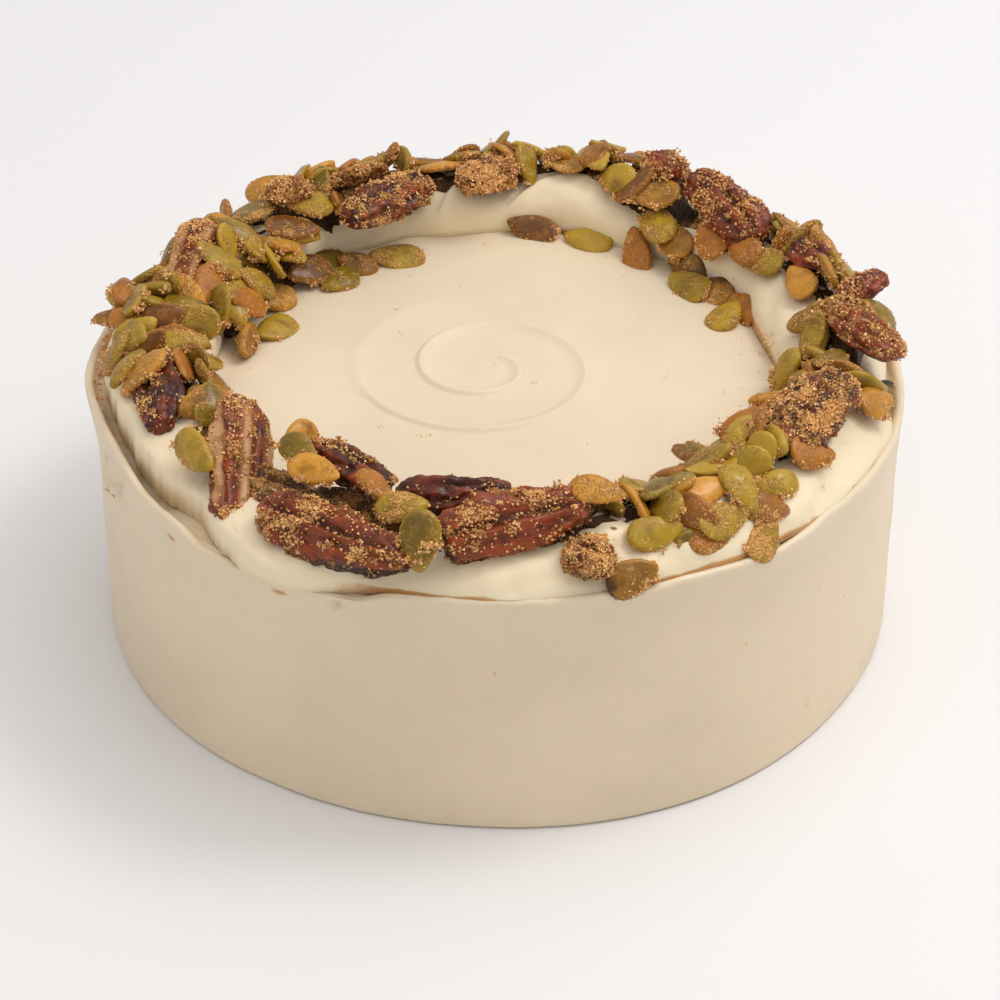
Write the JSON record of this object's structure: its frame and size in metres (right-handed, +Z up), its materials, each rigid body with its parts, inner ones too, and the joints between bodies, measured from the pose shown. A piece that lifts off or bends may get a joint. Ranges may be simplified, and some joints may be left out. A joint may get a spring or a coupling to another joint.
{
  "type": "layer cake",
  "caption": "Round uncut frosted layer cake with smooth sides, a swirled top, and a rope of frosting round the top that carries a ring of candied pecans and pumpkin seeds.",
  "frame": {"origin": "centre of the flat base, on the surface the cake stands on", "axes": "+Z up through the middle of the cake; -Y towards the front, where the seeds give way to pecans on the left"},
  "size_m": [0.2091, 0.2057, 0.088],
  "materials": {
    "frosting": "satin cream frosting, scraped smooth",
    "rope_frosting": "satin paler frosting laid in soft strokes",
    "candied_seeds": "olive and toasted pumpkin seeds, glossy, dusted with sugar",
    "candied_pecan": "red-brown candied nut, glossy in places and dusted with sugar"
  },
  "bodies": {
    "root": {"cake": "frosting", "frosting_rope": "rope_frosting", "seed_heap": "candied_seeds", "pecan_01": "candied_pecan", "pecan_02": "candied_pecan", "pecan_03": "candied_pecan", "pecan_04": "candied_pecan", "pecan_05": "candied_pecan", "pecan_06": "candied_pecan", "pecan_07": "candied_pecan", "pecan_08": "candied_pecan", "pecan_09": "candied_pecan", "pecan_10": "candied_pecan", "pecan_11": "candied_pecan", "pecan_12": "candied_pecan", "pecan_13": "candied_pecan", "pecan_14": "candied_pecan", "pecan_15": "candied_pecan", "pecan_16": "candied_pecan", "pecan_17": "candied_pecan", "pecan_18": "candied_pecan"}
  },
  "joints": []
}
